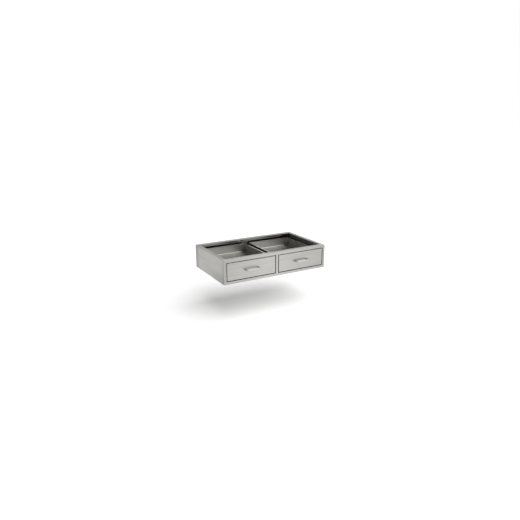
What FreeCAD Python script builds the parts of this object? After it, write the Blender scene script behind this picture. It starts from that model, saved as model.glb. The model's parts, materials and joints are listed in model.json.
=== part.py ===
import FreeCAD, Part
import math
import os
import re

import Sketcher
from FreeCAD import Rotation, Vector

# Knee-space drawer unit: a low stainless case that hangs under a bench top, with two shallow drawers
# on ball-bearing slides. Lengths are in millimetres, X runs to the right as seen from the front,
# Y to the back and Z up. Each piece is drawn with y = 0 on the face of the front frame and z = 0 on
# the underside of the case, and its placement then moves it so that the origin is at the middle of
# the whole unit's footprint.

doc = FreeCAD.newDocument("knee_space_drawer_unit")
sheet = doc.addObject("Spreadsheet::Sheet", "Sizes")

# Driving sizes of the case
CASE_SIZES = {
    "case_width": "762",
    "case_depth": "444.5",
    "case_height": "158",
    "sheet_gauge": "1.2",
    "bend_radius": "1",
    "side_flange": "24",
    "front_flange": "30",
    "back_flange": "38",
    "bottom_flange": "25",
    "front_foot": "40",
    "top_rail": "17.5",
    "bottom_rail": "17.5",
    "end_stile": "17",
    "centre_stile": "18",
    "frame_return": "22.2",
    "stop_lip": "29.5",
    "bumper_radius": "3.4",
    "bumper_thickness": "1.6",
    "bumper_inset": "60",
    "rear_plate_width": "54",
    "rear_plate_top": "150",
    "mount_hole_radius": "2.75",
    "mount_access_radius": "6",
    "mount_half_spacing": "340",
    "mount_front_inset": "13.5",
    "mount_back_inset": "19",
}

# Driving sizes of a drawer
DRAWER_SIZES = {
    "front_reveal": "4.8",
    "front_thickness": "19",
    "front_corner": "1.5",
    "inner_pan_depth": "11.2",
    "deadener_thickness": "12",
    "deadener_margin": "3",
    "deadener_hole_radius": "3",
    "tray_top": "126",
    "tray_depth": "57.4",
    "tray_back": "412.2",
    "tray_rim": "7",
    "tray_cove": "6",
    "pull_centres": "96",
    "pull_reach": "28",
    "pull_wire": "8",
    "pull_bend": "10",
    "pull_height": "79.5",
    "pull_thread_depth": "12",
    "pull_screw_engaged": "10",
    "front_screw_spread": "140",
    "front_screw_low": "82",
    "front_screw_high": "112",
    "front_screw_length": "6",
}

# Driving sizes of a slide, whose thickness is measured from the case to the drawer
SLIDE_SIZES = {
    "drawer_travel": "370",
    "slide_start": "22",
    "slide_length": "390",
    "slide_centre": "93.5",
    "slide_height": "35",
    "slide_thickness": "12.7",
    "divider_half": "9.2",
    "bracket_length": "80",
    "bracket_front": "30",
    "bracket_back": "330",
    "bracket_inset": "8.7",
    "case_lip": "9.6",
    "case_curl": "1",
    "outer_ball": "3.2",
    "inner_ball": "2.6",
    "ball_play": "0.1",
    "middle_near": "2.6",
    "middle_far": "11",
    "drawer_near": "5.6",
    "cage_gauge": "0.8",
    "cage_strip": "1",
    "cage_play": "0.3",
    "cage_spare": "15",
    "outer_cage_far": "8",
    "inner_cage_far": "9.6",
    "outer_ball_place": "5.6",
    "inner_ball_place": "7.6",
    "ball_pitch": "27",
    "tray_screw_pitch": "155",
    "screw_radius": "2",
    "screw_hole_play": "0.1",
    "screw_head_radius": "3.6",
    "screw_head_height": "2",
    "low_head_radius": "3",
    "low_head_height": "1.2",
}

BALLS_PER_ROW = 7
SIDES = {"left": -1, "right": 1}
BOTH_SIGNS = (-1, 1)
CIRCLE = 2 * math.pi
TOUCH = 1e-4

# A slide is on the case side at "centre" or "end", and runs from there towards the drawer
SLIDE_ENDS = ("centre", "end")

row = 0
for group in (CASE_SIZES, DRAWER_SIZES, SLIDE_SIZES):
    for alias, value in group.items():
        row += 1
        sheet.set(f"A{row}", value)
        sheet.setAlias(f"A{row}", alias)
doc.recompute()

# Lengths that several pieces share, each written in terms of the driving sizes
HALF = "case_width / 2"
INSIDE = "(case_width / 2 - sheet_gauge)"
TOP = "(case_height - sheet_gauge)"
BACK = "(case_depth - sheet_gauge)"
OPENING_TOP = "(case_height - top_rail)"
FRONT_TO_ORIGIN = "(pull_reach - case_depth) / 2"
FRONT_CENTRE = "((case_width / 2 - end_stile + centre_stile / 2) / 2)"
FRONT_WIDTH = "(case_width / 2 - end_stile - centre_stile / 2 - 2 * front_reveal)"
FRONT_BOTTOM = "(bottom_rail + front_reveal)"
FRONT_HEIGHT = "(case_height - top_rail - bottom_rail - 2 * front_reveal)"
TRAY_NEAR = "(divider_half + slide_thickness)"
TRAY_FAR = "(case_width / 2 - end_stile - bracket_inset - slide_thickness)"
PANEL_BOTTOM = "(2 * sheet_gauge)"
SLIDE_MIDDLE = "(slide_start + slide_length / 2)"
CAGE_LENGTH = "(slide_length - drawer_travel / 2 - cage_spare)"
SCREW_HOLE = "(screw_radius + screw_hole_play)"

nodes = []


def size(text):
    """An expression in which each alias is read from the sheet."""
    return re.sub(r"[a-z]+(?:_[a-z]+)+", lambda word: "Sizes." + word[0], text)


def bind(thing, **places):
    """Sets numeric properties of an object from expressions."""
    for path, text in places.items():
        thing.setExpression(path.replace("__", "."), size(text))


def place(thing, x="0", y=FRONT_TO_ORIGIN, z="0"):
    """Puts a finished piece at its place in the unit and lists it as a node."""
    bind(thing, Placement__Base__x=x, Placement__Base__y=y, Placement__Base__z=z)
    nodes.append(thing)


def new_body(label):
    return doc.addObject("PartDesign::Body", label)


def new_sketch(body, plane, level="0"):
    """A sketch on one of the body's origin planes, moved to a level along +X, +Y or +Z."""
    sketch = body.newObject("Sketcher::SketchObject", body.Label + "_sketch")
    planes = [feature for feature in body.Origin.OriginFeatures if feature.Role == plane]
    sketch.AttachmentSupport = (planes[0], [""])
    sketch.MapMode = "FlatFace"
    sign = "-1" if plane == "XZ_Plane" else "1"
    bind(sketch, AttachmentOffset__Base__z=f"{sign} * ({level})")
    return sketch


def fix_point(sketch, item, end, across, up):
    """Fixes a point of the sketch at bound distances from the origin, or only one where up is None."""
    now = sketch.getPoint(item, end)
    for kind, text, distance in (("DistanceX", across, now.x), ("DistanceY", up, now.y)):
        if text is not None:
            index = sketch.addConstraint(Sketcher.Constraint(kind, -1, 1, item, end, distance))
            sketch.setExpression(f"Constraints[{index}]", size(text))


def add_outline(sketch, points):
    """Adds a closed outline with straight sides through the given corners."""
    first = sketch.GeometryCount
    count = len(points)
    ring = [Vector(math.cos(CIRCLE * k / count), math.sin(CIRCLE * k / count), 0) for k in range(count)]
    for k in range(count):
        sketch.addGeometry(Part.LineSegment(ring[k], ring[(k + 1) % count]), False)
    for k in range(count):
        following = first + (k + 1) % count
        sketch.addConstraint(Sketcher.Constraint("Coincident", first + k, 2, following, 1))
    for k, (across, up) in enumerate(points):
        fix_point(sketch, first + k, 1, across, up)


def add_rectangle(sketch, left, right, low, high):
    add_outline(sketch, [(left, low), (right, low), (right, high), (left, high)])


def add_circle(sketch, across, up, radius):
    item = sketch.addGeometry(Part.Circle(Vector(1, 1, 0), Vector(0, 0, 1), 1.0), False)
    fix_point(sketch, item, 3, across, up)
    index = sketch.addConstraint(Sketcher.Constraint("Radius", item, 1.0))
    sketch.setExpression(f"Constraints[{index}]", size(radius))


def pad(body, sketch, length, symmetric=False):
    """Thickens a sketch towards +X, +Y or +Z, or to both sides of it."""
    feature = body.newObject("PartDesign::Pad", body.Label + "_pad")
    feature.Profile = sketch
    feature.SideType = "Symmetric" if symmetric else "One side"
    feature.Reversed = not symmetric and "XZ" in sketch.AttachmentSupport[0][0].Role
    bind(feature, Length=length)
    doc.recompute()
    return feature


def cut_both_ways(body, sketch, length):
    """Cuts a sketch through the body to both sides of it, and makes sure that it cuts."""
    before = body.Shape.Volume
    feature = body.newObject("PartDesign::Pocket", body.Label + "_cut")
    feature.Profile = sketch
    feature.SideType = "Symmetric"
    bind(feature, Length=length)
    doc.recompute()
    if body.Shape.Volume >= before:
        raise RuntimeError(body.Label + " was not cut")
    return feature


def round_edges(body, radius, wanted):
    """Rounds the edges of the body's last feature that pass a test."""
    base = body.Tip
    names = [f"Edge{k + 1}" for k, edge in enumerate(base.Shape.Edges) if wanted(edge)]
    feature = body.newObject("PartDesign::Fillet", body.Label + "_bend")
    feature.Base = (base, names)
    bind(feature, Radius=radius)
    doc.recompute()
    return feature


def outer_corner(box, axes):
    """A test for the edges of a box that lie in two of its outer faces, such as ("XMin", "YMin")."""
    def wanted(edge):
        near = edge.BoundBox
        for face in axes:
            low, high = getattr(near, face[0] + "Min"), getattr(near, face[0] + "Max")
            if max(abs(low - getattr(box, face)), abs(high - getattr(box, face))) > TOUCH:
                return False
        return True
    return wanted


def round_corners(body, radius, *corners):
    """Rounds the outer edges of a body that the given pairs of faces share."""
    box = body.Tip.Shape.BoundBox
    tests = [outer_corner(box, corner) for corner in corners]
    return round_edges(body, radius, lambda edge: any(test(edge) for test in tests))


def hollow(body, open_face):
    """Turns a block into a folded pan by removing one outer face and keeping the sheet's gauge."""
    base = body.Tip
    box = base.Shape.BoundBox
    test = outer_corner(box, (open_face,))
    names = [f"Face{k + 1}" for k, face in enumerate(base.Shape.Faces) if test(face)]
    feature = body.newObject("PartDesign::Thickness", body.Label + "_pan")
    feature.Base = (base, names)
    feature.Reversed = True
    bind(feature, Value="sheet_gauge")
    doc.recompute()
    return feature


def row_of_holes(body, plane, level, across, up, radius, length):
    """Cuts a round hole at each of the places where across and up meet."""
    sketch = new_sketch(body, plane, level)
    for a in across:
        for b in up:
            add_circle(sketch, a, b, radius)
    return cut_both_ways(body, sketch, length)


# Side panel: one sheet with a flange at the top and bottom and the end stile folded at its front
def side_panel(name, sign):
    body = new_body(f"{name}_side_panel")
    web = new_sketch(body, "XY_Plane")
    add_rectangle(web, f"{sign} * {INSIDE}", f"{sign} * {HALF}", "0", "case_depth")
    pad(body, web, "case_height")
    top = new_sketch(body, "XY_Plane", TOP)
    inner = f"{sign} * (case_width / 2 - side_flange)"
    add_rectangle(top, inner, f"{sign} * {INSIDE}", "front_flange", "case_depth - back_flange")
    pad(body, top, "sheet_gauge")
    foot = new_sketch(body, "XY_Plane")
    inner = f"{sign} * (case_width / 2 - bottom_flange)"
    add_rectangle(foot, inner, f"{sign} * {INSIDE}", "front_foot", "case_depth - bottom_flange")
    pad(body, foot, "sheet_gauge")
    stile = new_sketch(body, "XY_Plane", "sheet_gauge")
    edge = f"{sign} * (case_width / 2 - end_stile)"
    fold = f"{sign} * (case_width / 2 - end_stile + sheet_gauge)"
    add_outline(stile, [
        (f"{sign} * {INSIDE}", "0"),
        (edge, "0"),
        (edge, "frame_return"),
        (fold, "frame_return"),
        (fold, "sheet_gauge"),
        (f"{sign} * {INSIDE}", "sheet_gauge"),
    ])
    pad(body, stile, "case_height - 2 * sheet_gauge")
    outer = "XMin" if sign < 0 else "XMax"
    round_corners(body, "bend_radius", (outer, "YMin"), (outer, "ZMax"), (outer, "ZMin"), (outer, "YMax"))
    place(body)


# Back panel: one sheet between the sides with a wide flange at the top and a narrow one at the foot
def back_panel():
    body = new_body("back_panel")
    section = new_sketch(body, "YZ_Plane")
    add_outline(section, [
        ("case_depth", "0"),
        ("case_depth", "case_height"),
        ("case_depth - back_flange", "case_height"),
        ("case_depth - back_flange", TOP),
        (BACK, TOP),
        (BACK, "sheet_gauge"),
        ("case_depth - bottom_flange", "sheet_gauge"),
        ("case_depth - bottom_flange", "0"),
    ])
    pad(body, section, f"2 * {INSIDE}", symmetric=True)
    round_corners(body, "bend_radius", ("YMax", "ZMax"), ("YMax", "ZMin"))
    across = [f"{sign} * mount_half_spacing" for sign in BOTH_SIGNS]
    row_of_holes(body, "XY_Plane", TOP, across, ["case_depth - mount_back_inset"],
                 "mount_hole_radius", "4 * sheet_gauge")
    place(body)


# Front top rail: a channel whose top flange runs over both end stiles, with bolt holes and access
def front_top_rail():
    body = new_body("front_top_rail")
    section = new_sketch(body, "YZ_Plane")
    add_outline(section, [
        ("0", "case_height"),
        ("0", OPENING_TOP),
        ("frame_return", OPENING_TOP),
        ("frame_return", f"{OPENING_TOP} + sheet_gauge"),
        ("sheet_gauge", f"{OPENING_TOP} + sheet_gauge"),
        ("sheet_gauge", TOP),
        ("front_flange", TOP),
        ("front_flange", "case_height"),
    ])
    pad(body, section, "case_width - 2 * end_stile", symmetric=True)
    flange = new_sketch(body, "XY_Plane", TOP)
    add_rectangle(flange, f"-1 * {INSIDE}", INSIDE, "0", "front_flange")
    pad(body, flange, "sheet_gauge")
    round_corners(body, "bend_radius", ("YMin", "ZMax"), ("YMin", "ZMin"))
    across = [f"{sign} * mount_half_spacing" for sign in BOTH_SIGNS]
    row_of_holes(body, "XY_Plane", TOP, across, ["mount_front_inset"],
                 "mount_hole_radius", "4 * sheet_gauge")
    row_of_holes(body, "XY_Plane", OPENING_TOP, across, ["mount_front_inset"],
                 "mount_access_radius", "4 * sheet_gauge")
    place(body)


# Front bottom rail: a channel with a foot under the bottom panel and a stop lip behind each drawer
def front_bottom_rail():
    body = new_body("front_bottom_rail")
    section = new_sketch(body, "YZ_Plane")
    add_outline(section, [
        ("0", "0"),
        ("0", "bottom_rail"),
        ("frame_return", "bottom_rail"),
        ("frame_return", "bottom_rail - sheet_gauge"),
        ("sheet_gauge", "bottom_rail - sheet_gauge"),
        ("sheet_gauge", "sheet_gauge"),
        ("front_foot", "sheet_gauge"),
        ("front_foot", "0"),
    ])
    pad(body, section, "case_width - 2 * end_stile", symmetric=True)
    foot = new_sketch(body, "XY_Plane")
    add_rectangle(foot, f"-1 * {INSIDE}", INSIDE, "0", "front_foot")
    pad(body, foot, "sheet_gauge")
    lips = new_sketch(body, "XY_Plane", "bottom_rail - sheet_gauge")
    for sign in BOTH_SIGNS:
        middle = f"{sign} * {FRONT_CENTRE}"
        half = f"{FRONT_WIDTH} / 2"
        add_rectangle(lips, f"{middle} - {half}", f"{middle} + {half}",
                      "frame_return - sheet_gauge", "frame_return")
    pad(body, lips, "stop_lip - bottom_rail + sheet_gauge")
    level = sheet.get("bottom_rail")
    round_corners(body, "bend_radius", ("YMin", "ZMin"))
    front = body.Tip.Shape.BoundBox.YMin
    round_edges(body, "bend_radius", lambda edge: (
        abs(edge.BoundBox.YMax - front) < TOUCH
        and abs(edge.BoundBox.ZMin - level) < TOUCH
        and abs(edge.BoundBox.ZMax - level) < TOUCH))
    place(body)


# Centre stile: a narrow channel between the rails, in front of the divider
def centre_stile():
    body = new_body("centre_stile")
    plan = new_sketch(body, "XY_Plane", "bottom_rail")
    add_outline(plan, [
        ("-1 * centre_stile / 2", "0"),
        ("centre_stile / 2", "0"),
        ("centre_stile / 2", "frame_return"),
        ("centre_stile / 2 - sheet_gauge", "frame_return"),
        ("centre_stile / 2 - sheet_gauge", "sheet_gauge"),
        ("sheet_gauge - centre_stile / 2", "sheet_gauge"),
        ("sheet_gauge - centre_stile / 2", "frame_return"),
        ("-1 * centre_stile / 2", "frame_return"),
    ])
    pad(body, plan, "case_height - top_rail - bottom_rail")
    round_corners(body, "bend_radius", ("XMin", "YMin"), ("XMax", "YMin"))
    place(body)


# Bottom panel: a flat sheet that lies on the feet of the sides, back and front rail
def bottom_panel():
    body = new_body("bottom_panel")
    plan = new_sketch(body, "XY_Plane", "sheet_gauge")
    add_rectangle(plan, f"-1 * {INSIDE}", INSIDE, "frame_return", BACK)
    pad(body, plan, "sheet_gauge")
    place(body)


# Centre divider: a channel from front to back, open at the top, that carries a slide on each side
def centre_divider():
    body = new_body("centre_divider")
    section = new_sketch(body, "XZ_Plane", "frame_return")
    high = "slide_centre + slide_height / 2"
    add_outline(section, [
        ("-1 * divider_half", high),
        ("-1 * divider_half", PANEL_BOTTOM),
        ("divider_half", PANEL_BOTTOM),
        ("divider_half", high),
        ("divider_half - sheet_gauge", high),
        ("divider_half - sheet_gauge", f"{PANEL_BOTTOM} + sheet_gauge"),
        ("sheet_gauge - divider_half", f"{PANEL_BOTTOM} + sheet_gauge"),
        ("sheet_gauge - divider_half", high),
    ])
    pad(body, section, f"{BACK} - sheet_gauge - frame_return")
    round_corners(body, "bend_radius", ("XMin", "ZMin"), ("XMax", "ZMin"))
    row_of_holes(body, "YZ_Plane", "0", bracket_middles(), ["slide_centre"], SCREW_HOLE, "4 * divider_half")
    place(body)


# Rear centre plate: stiffens the back panel where the divider meets it
def rear_centre_plate():
    body = new_body("rear_centre_plate")
    face = new_sketch(body, "XZ_Plane", f"{BACK} - sheet_gauge")
    add_rectangle(face, "-1 * rear_plate_width / 2", "rear_plate_width / 2", PANEL_BOTTOM, "rear_plate_top")
    pad(body, face, "sheet_gauge")
    place(body)


def bracket_middles():
    """The places along the case where its screws hold a slide."""
    return [f"{start} + bracket_length / 2" for start in ("bracket_front", "bracket_back")]


# Slide bracket: a short channel that stands a slide off a side panel
def slide_bracket(name, sign, end, start):
    body = new_body(f"{name}_{end}_slide_bracket")
    section = new_sketch(body, "XZ_Plane", start)
    face = f"{sign} * ({TRAY_FAR} + slide_thickness)"
    fold = f"{sign} * ({TRAY_FAR} + slide_thickness + sheet_gauge)"
    wall = f"{sign} * {INSIDE}"
    low = "(slide_centre - slide_height / 2)"
    high = "(slide_centre + slide_height / 2)"
    add_outline(section, [
        (face, low),
        (wall, low),
        (wall, f"{low} + sheet_gauge"),
        (fold, f"{low} + sheet_gauge"),
        (fold, f"{high} - sheet_gauge"),
        (wall, f"{high} - sheet_gauge"),
        (wall, high),
        (face, high),
    ])
    pad(body, section, "bracket_length")
    inner = "XMax" if sign < 0 else "XMin"
    round_corners(body, "bend_radius", (inner, "ZMin"), (inner, "ZMax"))
    row_of_holes(body, "YZ_Plane", face, [f"{start} + bracket_length / 2"], ["slide_centre"],
                 SCREW_HOLE, "4 * sheet_gauge")
    place(body)


def channel(label, sign, near, far, half, gauge, start, length, curl="0"):
    """
    A channel that lies on its side: its web is at `near` and its lips reach to `far`, both
    measured across the slide. With a curl, the ends of the lips turn in.
    """
    body = new_body(label)
    section = new_sketch(body, "XZ_Plane", start)
    toward = 1 if far[0] != "-" else -1
    far = far.lstrip("-")
    web = f"{near} + {toward} * {gauge}"
    corners = [
        (near, f"0 - {half}"),
        (far, f"0 - {half}"),
        (far, f"{gauge} + {curl} - {half}"),
        (f"{far} - {toward} * {gauge}", f"{gauge} + {curl} - {half}"),
        (f"{far} - {toward} * {gauge}", f"{gauge} - {half}"),
        (web, f"{gauge} - {half}"),
    ]
    if curl == "0":
        corners = [corners[0], corners[1], (far, f"{gauge} - {half}"), corners[5]]
    mirrored = [(across, f"0 - ({up})") for across, up in reversed(corners)]
    add_outline(section, [(f"{sign} * ({across})", up) for across, up in corners + mirrored])
    pad(body, section, length)
    return body


# Slide: a case member, a middle member and a drawer member, one inside the other, with two cages
def slide(name, sign, end):
    label = f"{name}_drawer_{end}_slide"
    across = f"{sign} * divider_half" if end == "centre" else f"{sign} * ({TRAY_FAR} + slide_thickness)"
    turn = sign if end == "centre" else -sign
    outer_half = "(slide_height / 2)"
    middle_half = "(slide_height / 2 - sheet_gauge - outer_ball - ball_play)"
    inner_half = "(slide_height / 2 - 2 * sheet_gauge - outer_ball - inner_ball - 2 * ball_play)"

    case = channel(f"{label}_case_member", turn, "0", "case_lip", outer_half, "sheet_gauge",
                   "slide_start", "slide_length", curl="case_curl")
    row_of_holes(case, "YZ_Plane", "0", bracket_middles(), ["0"], SCREW_HOLE, "4 * sheet_gauge")
    middle = channel(f"{label}_middle_member", turn, "middle_near", "middle_far", middle_half,
                     "sheet_gauge", "slide_start", "slide_length")
    drawer = channel(f"{label}_drawer_member", turn, "slide_thickness", "-drawer_near", inner_half,
                     "sheet_gauge", "slide_start", "slide_length")
    row_of_holes(drawer, "YZ_Plane", f"{turn} * slide_thickness", drawer_screw_places(), ["0"],
                 SCREW_HOLE, "4 * sheet_gauge")

    cages = []
    rows = (
        ("outer", "sheet_gauge + cage_play", "outer_cage_far", "outer_ball", "outer_ball_place",
         "slide_height / 2 - sheet_gauge"),
        ("inner", "middle_near + sheet_gauge + cage_play", "inner_cage_far", "inner_ball",
         "inner_ball_place", "slide_height / 2 - 2 * sheet_gauge - outer_ball - ball_play"),
    )
    for which, near, far, ball, ball_place, race in rows:
        ball_row = f"({race} - ({ball} + ball_play) / 2)"
        cage = new_body(f"{label}_{which}_ball_cage")
        section = new_sketch(cage, "XZ_Plane", f"{SLIDE_MIDDLE} - {CAGE_LENGTH} / 2")
        high = f"({ball_row} + cage_strip / 2)"
        corners = [
            (near, f"0 - {high}"),
            (far, f"0 - {high}"),
            (far, f"cage_strip - {high}"),
            (f"{near} + cage_gauge", f"cage_strip - {high}"),
        ]
        mirrored = [(a, f"0 - ({up})") for a, up in reversed(corners)]
        add_outline(section, [(f"{turn} * ({a})", up) for a, up in corners + mirrored])
        pad(cage, section, CAGE_LENGTH)
        row_of_holes(cage, "XY_Plane", "0", [f"{turn} * {ball_place}"], ball_places(),
                     f"{ball} / 2 + ball_play", "2 * slide_height")
        cages.append(cage)
    for body in [case, middle, drawer] + cages:
        place(body, x=across, z="slide_centre")


def ball_places():
    """The places of the balls of one row along the slide, evenly spaced about its middle."""
    return [f"{SLIDE_MIDDLE} + {k - BALLS_PER_ROW // 2} * ball_pitch" for k in range(BALLS_PER_ROW)]


def drawer_screw_places():
    """The places along the slide where screws hold its drawer member to the tray."""
    return [f"{SLIDE_MIDDLE} + {k} * tray_screw_pitch" for k in (-1, 0, 1)]


# Balls of both slides of a drawer, one node for each stage of the slides
def slide_balls(name, sign, which):
    ball = f"{which}_ball"
    races = {
        "outer": "(slide_height / 2 - sheet_gauge)",
        "inner": "(slide_height / 2 - 2 * sheet_gauge - outer_ball - ball_play)",
    }
    height = f"({races[which]} - ({ball} + ball_play) / 2)"
    spheres = []
    for end in SLIDE_ENDS:
        turn = sign if end == "centre" else -sign
        start = "divider_half" if end == "centre" else f"({TRAY_FAR} + slide_thickness)"
        for level in BOTH_SIGNS:
            for along in ball_places():
                sphere = doc.addObject("Part::Sphere", f"{name}_{which}_ball")
                bind(sphere, Radius=f"{ball} / 2")
                bind(sphere, Placement__Base__x=f"{sign} * {start} + {turn} * {ball}_place",
                     Placement__Base__y=along, Placement__Base__z=f"slide_centre + {level} * {height}")
                spheres.append(sphere)
    group = doc.addObject("Part::Compound", f"{name}_drawer_{which}_slide_balls")
    group.Links = spheres
    place(group)


def screw(name, spot, direction, length, head_radius, head_height):
    """A screw whose head bears at a spot and whose shank points in a direction."""
    pieces = []
    shank_and_head = (
        ("shank", direction, "screw_radius", length),
        ("head", direction * -1, head_radius, head_height),
    )
    for kind, way, radius, reach in shank_and_head:
        piece = doc.addObject("Part::Cylinder", f"{name}_{kind}")
        piece.Placement.Rotation = Rotation(Vector(0, 0, 1), way)
        x, y, z = spot
        bind(piece, Radius=radius, Height=reach)
        bind(piece, Placement__Base__x=x, Placement__Base__y=y, Placement__Base__z=z)
        pieces.append(piece)
    whole = doc.addObject("Part::MultiFuse", name)
    whole.Shapes = pieces
    return whole


def screw_group(label, screws):
    group = doc.addObject("Part::Compound", label)
    group.Links = screws
    place(group)


# Screws that hold the case members to the divider and the brackets, with heads behind the sheet
def case_slide_screws():
    screws = []
    for sign in BOTH_SIGNS:
        starts = {
            "centre": ("(divider_half - sheet_gauge)", Vector(sign, 0, 0)),
            "end": (f"({TRAY_FAR} + slide_thickness + sheet_gauge)", Vector(-sign, 0, 0)),
        }
        for end in SLIDE_ENDS:
            across, way = starts[end]
            for along in bracket_middles():
                spot = (f"{sign} * {across}", along, "slide_centre")
                screws.append(screw("case_screw", spot, way, "2 * sheet_gauge",
                                    "screw_head_radius", "screw_head_height"))
    screw_group("case_slide_screws", screws)


# Screws that hold a drawer's two slides to its tray, with low heads inside the slide
def drawer_slide_screws(name, sign):
    screws = []
    heads = {
        "centre": (f"({TRAY_NEAR} - sheet_gauge)", Vector(sign, 0, 0)),
        "end": (f"({TRAY_FAR} + sheet_gauge)", Vector(-sign, 0, 0)),
    }
    for across, way in heads.values():
        for along in drawer_screw_places():
            spot = (f"{sign} * {across}", along, "slide_centre")
            screws.append(screw("tray_screw", spot, way, "2 * sheet_gauge",
                                "low_head_radius", "low_head_height"))
    screw_group(f"{name}_drawer_slide_screws", screws)


# Tray: a shallow folded drawer body with coved floor edges and a rim turned outward on three sides
def drawer_tray(name, sign):
    body = new_body(f"{name}_drawer_tray")
    half = f"({TRAY_FAR} - {TRAY_NEAR}) / 2"
    block = new_sketch(body, "XY_Plane", "tray_top - tray_depth")
    add_rectangle(block, f"0 - {half}", half, "front_thickness", "tray_back")
    pad(body, block, "tray_depth")
    round_corners(body, "tray_cove + sheet_gauge", ("ZMin",), ("XMin", "YMin"), ("XMax", "YMin"),
                  ("XMin", "YMax"), ("XMax", "YMax"))
    hollow(body, "ZMax")
    rim = new_sketch(body, "XY_Plane", "tray_top - sheet_gauge")
    outer = f"{half} + tray_rim"
    edge = f"{half} - sheet_gauge"
    wall = "tray_back - sheet_gauge"
    add_outline(rim, [
        (f"0 - ({outer})", "frame_return"),
        (f"0 - ({outer})", "tray_back + tray_rim"),
        (outer, "tray_back + tray_rim"),
        (outer, "frame_return"),
        (edge, "frame_return"),
        (edge, wall),
        (f"0 - ({edge})", wall),
        (f"0 - ({edge})", "frame_return"),
    ])
    pad(body, rim, "sheet_gauge")
    row_of_holes(body, "YZ_Plane", "0", drawer_screw_places(), ["slide_centre"], SCREW_HOLE,
                 f"4 * ({half})")
    shift = f"{FRONT_CENTRE} - ({TRAY_FAR} + {TRAY_NEAR}) / 2"
    pull_places = [f"{k} * pull_centres / 2 + {sign} * ({shift})" for k in BOTH_SIGNS]
    row_of_holes(body, "XZ_Plane", "front_thickness", pull_places, ["pull_height"], SCREW_HOLE,
                 "4 * sheet_gauge")
    front_places = [f"{k} * front_screw_spread + {sign} * ({shift})" for k in BOTH_SIGNS]
    row_of_holes(body, "XZ_Plane", "front_thickness", front_places,
                 ["front_screw_low", "front_screw_high"], SCREW_HOLE, "4 * sheet_gauge")
    place(body, x=f"{sign} * ({TRAY_FAR} + {TRAY_NEAR}) / 2")


def pull_holes(body, level, radius, length):
    across = [f"{k} * pull_centres / 2" for k in BOTH_SIGNS]
    row_of_holes(body, "XZ_Plane", level, across, ["pull_height"], radius, length)


# Outer pan of the drawer front: the brushed face with its edges folded back
def front_outer_pan(name, sign):
    body = new_body(f"{name}_drawer_front")
    half = f"{FRONT_WIDTH} / 2"
    face = new_sketch(body, "XZ_Plane")
    add_rectangle(face, f"0 - {half}", half, FRONT_BOTTOM, f"{FRONT_BOTTOM} + {FRONT_HEIGHT}")
    pad(body, face, "front_thickness")
    hollow(body, "YMax")
    round_corners(body, "front_corner", ("YMin", "XMin"), ("YMin", "XMax"), ("YMin", "ZMin"),
                  ("YMin", "ZMax"))
    pull_holes(body, "0", SCREW_HOLE, "4 * sheet_gauge")
    place(body, x=f"{sign} * {FRONT_CENTRE}")


# Inner pan of the drawer front: closes the back of the outer pan and takes the tray's screws
def front_inner_pan(name, sign):
    body = new_body(f"{name}_drawer_inner_front")
    half = f"({FRONT_WIDTH} / 2 - sheet_gauge)"
    face = new_sketch(body, "XZ_Plane", "front_thickness - inner_pan_depth")
    add_rectangle(face, f"0 - {half}", half, f"{FRONT_BOTTOM} + sheet_gauge",
                  f"{FRONT_BOTTOM} + {FRONT_HEIGHT} - sheet_gauge")
    pad(body, face, "inner_pan_depth")
    hollow(body, "YMin")
    pull_holes(body, "front_thickness", SCREW_HOLE, "4 * sheet_gauge")
    spread = [f"{k} * front_screw_spread" for k in BOTH_SIGNS]
    row_of_holes(body, "XZ_Plane", "front_thickness", spread, ["front_screw_low", "front_screw_high"],
                 SCREW_HOLE, "4 * sheet_gauge")
    place(body, x=f"{sign} * {FRONT_CENTRE}")


# Sound deadener: a fibre pad that fills the drawer front
def sound_deadener(name, sign):
    body = new_body(f"{name}_drawer_sound_pad")
    half = f"({FRONT_WIDTH} / 2 - 2 * sheet_gauge - deadener_margin)"
    margin = "(2 * sheet_gauge + deadener_margin)"
    face = new_sketch(body, "XZ_Plane", "sheet_gauge")
    add_rectangle(face, f"0 - {half}", half, f"{FRONT_BOTTOM} + {margin}",
                  f"{FRONT_BOTTOM} + {FRONT_HEIGHT} - {margin}")
    pad(body, face, "deadener_thickness")
    pull_holes(body, "sheet_gauge", "deadener_hole_radius", "4 * deadener_thickness")
    place(body, x=f"{sign} * {FRONT_CENTRE}")


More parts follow.
